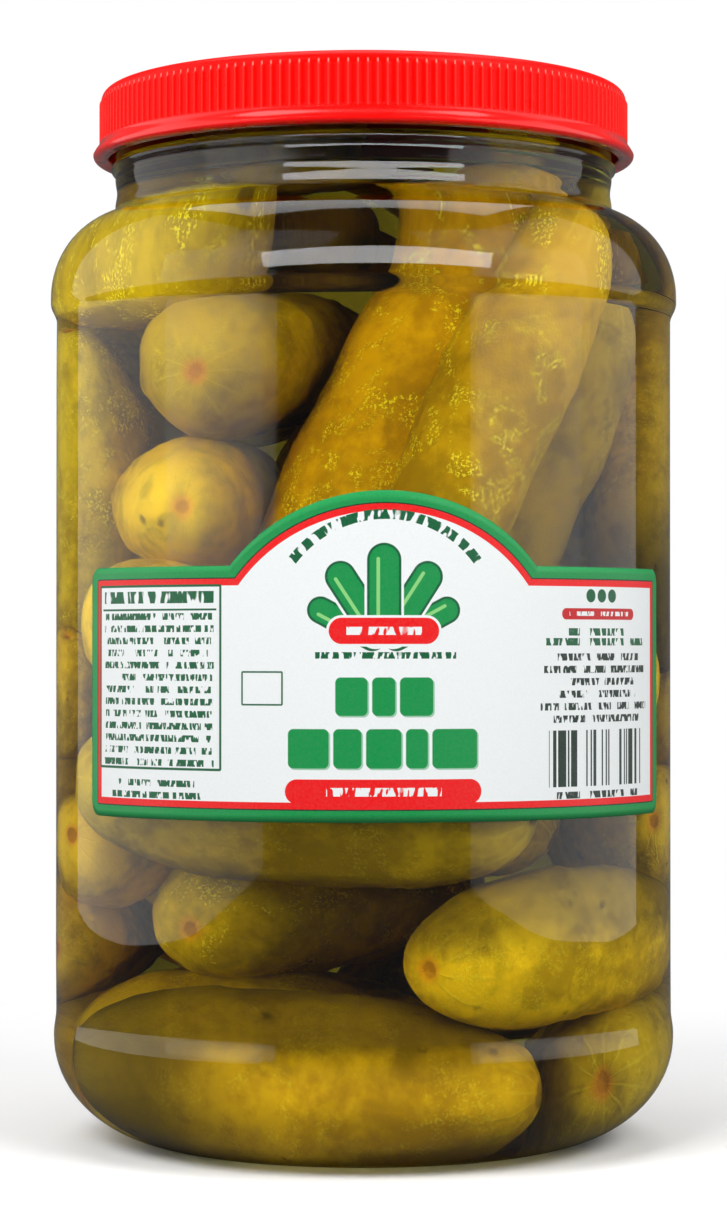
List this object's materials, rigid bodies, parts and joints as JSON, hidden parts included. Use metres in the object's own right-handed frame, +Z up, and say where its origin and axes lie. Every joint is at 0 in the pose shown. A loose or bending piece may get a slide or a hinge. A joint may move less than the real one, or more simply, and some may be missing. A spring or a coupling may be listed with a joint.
{
  "type": "pickle jar",
  "caption": "Wide-mouth clear plastic jar with a round shoulder and ribbed screw cap, an arched wrap label, filled with brine and whole pickles.",
  "frame": {"origin": "middle of the foot, on the surface that the jar stands on", "axes": "+Z up along the jar's axis, the label faces -Y, +X to the right of the label"},
  "size_m": [0.1356, 0.1356, 0.2266],
  "materials": {
    "clear_plastic": "clear gloss",
    "brine": "clear liquid",
    "pickle": "wet skin",
    "cap": "semi-gloss",
    "label": "satin printed film"
  },
  "bodies": {
    "root": {"jar": "clear_plastic", "brine": "brine", "cap": "cap", "label": "label"}
  },
  "joints": []
}
